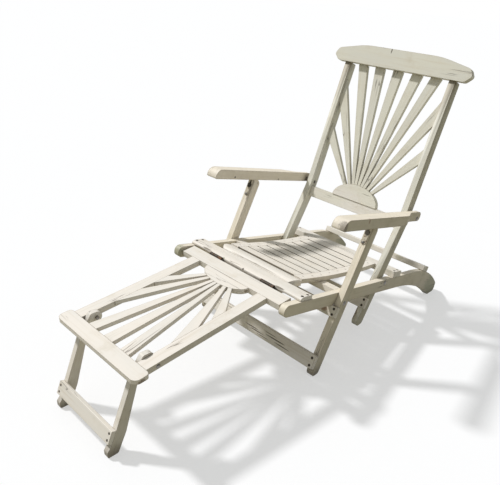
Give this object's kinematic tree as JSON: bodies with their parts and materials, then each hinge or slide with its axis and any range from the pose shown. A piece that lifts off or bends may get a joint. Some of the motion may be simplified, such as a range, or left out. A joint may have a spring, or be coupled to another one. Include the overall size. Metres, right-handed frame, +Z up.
{
  "type": "folding deck chair",
  "caption": "Folding slatted wooden deck chair with sunburst back, flat arms, curved rear rails and a hinged sunburst footrest on folding legs.",
  "frame": {"origin": "on the floor under the middle of the chair's overall length and width", "axes": "+X across the chair to the sitter's left, +Y from the footrest to the tail, +Z up"},
  "size_m": [0.602, 1.6386, 1.0042],
  "materials": {
    "painted_wood": "worn cream-white paint on weathered wood",
    "aged_steel": "dull, stained",
    "aged_iron": "dark, lightly rusted"
  },
  "bodies": {
    "arm_left": {"arm_hinge_plate_left": "aged_iron", "arm_left": "painted_wood"},
    "arm_right": {"arm_hinge_plate_right": "aged_iron", "arm_right": "painted_wood"},
    "back": {"arm_pivot_bolts": "aged_steel", "back_post_left": "painted_wood", "back_post_right": "painted_wood", "back_ray_1": "painted_wood", "back_ray_2": "painted_wood", "back_ray_3": "painted_wood", "back_ray_4": "painted_wood", "back_ray_5": "painted_wood", "back_ray_6": "painted_wood", "back_ray_7": "painted_wood", "back_ray_8": "painted_wood", "back_ray_9": "painted_wood", "back_screws": "aged_steel", "back_sun_disc": "painted_wood", "back_sun_rail": "painted_wood", "crest_rail": "painted_wood", "rear_stretcher": "painted_wood"},
    "footrest": {"footrest_front_board": "painted_wood", "footrest_hinge_moving_leaves": "aged_iron", "footrest_ray_1": "painted_wood", "footrest_ray_2": "painted_wood", "footrest_ray_3": "painted_wood", "footrest_ray_4": "painted_wood", "footrest_ray_5": "painted_wood", "footrest_ray_6": "painted_wood", "footrest_ray_7": "painted_wood", "footrest_rear_rail": "painted_wood", "footrest_side_rail_left": "painted_wood", "footrest_side_rail_right": "painted_wood", "footrest_sun_disc": "painted_wood", "lug_bolts": "aged_steel"},
    "seat_frame": {"footrest_hinge_frame_leaves": "aged_iron", "frame_screws": "aged_steel", "front_bearer": "painted_wood", "front_cross_board": "painted_wood", "rail_pivot_bolts": "aged_steel", "rear_cross_bar": "painted_wood", "seat_front_rail": "painted_wood", "seat_side_rail_left": "painted_wood", "seat_side_rail_right": "painted_wood", "seat_slat_pins": "aged_steel", "seat_slats": "painted_wood", "side_rail_left": "painted_wood", "side_rail_right": "painted_wood", "tail_cross_bar": "painted_wood", "under_seat_rail": "painted_wood"},
    "footrest_legs": {"footrest_leg_left": "painted_wood", "footrest_leg_right": "painted_wood", "footrest_leg_screws": "aged_steel", "footrest_leg_stretcher": "painted_wood"},
    "front_legs": {"front_leg_left": "painted_wood", "front_leg_right": "painted_wood", "front_stretcher": "painted_wood", "leg_hinge_fittings": "aged_iron", "leg_screws": "aged_steel", "leg_stop_bar": "painted_wood"}
  },
  "joints": [
    {"name": "back_fold", "type": "hinge", "parent": "seat_frame", "child": "back", "pos_m": [0, 0.3196, 0.20999], "axis": [1, 0, 0], "range_deg": [0, 85]},
    {"name": "front_leg_fold", "type": "hinge", "parent": "seat_frame", "child": "front_legs", "pos_m": [0, 0.00861, 0.24899], "axis": [1, 0, 0], "range_deg": [0, 85]},
    {"name": "arm_fold_left", "type": "hinge", "parent": "back", "child": "arm_left", "pos_m": [-0.2627, 0.4341, 0.44999], "axis": [1, 0, 0], "range_deg": [-85, 0]},
    {"name": "arm_fold_right", "type": "hinge", "parent": "back", "child": "arm_right", "pos_m": [0.2627, 0.4341, 0.44999], "axis": [1, 0, 0], "range_deg": [-85, 0]},
    {"name": "footrest_fold", "type": "hinge", "parent": "seat_frame", "child": "footrest", "pos_m": [0, -0.21112, 0.32682], "axis": [-1, 0, 0], "range_deg": [0, 44]},
    {"name": "footrest_leg_fold", "type": "hinge", "parent": "footrest", "child": "footrest_legs", "pos_m": [0, -0.68473, 0.26927], "axis": [1, 0, 0], "range_deg": [0, 95]}
  ],
  "couplings": [
    {"joint": "front_leg_fold", "follows": "back_fold", "ratio": 1},
    {"joint": "arm_fold_left", "follows": "back_fold", "ratio": -1},
    {"joint": "arm_fold_right", "follows": "back_fold", "ratio": -1}
  ]
}
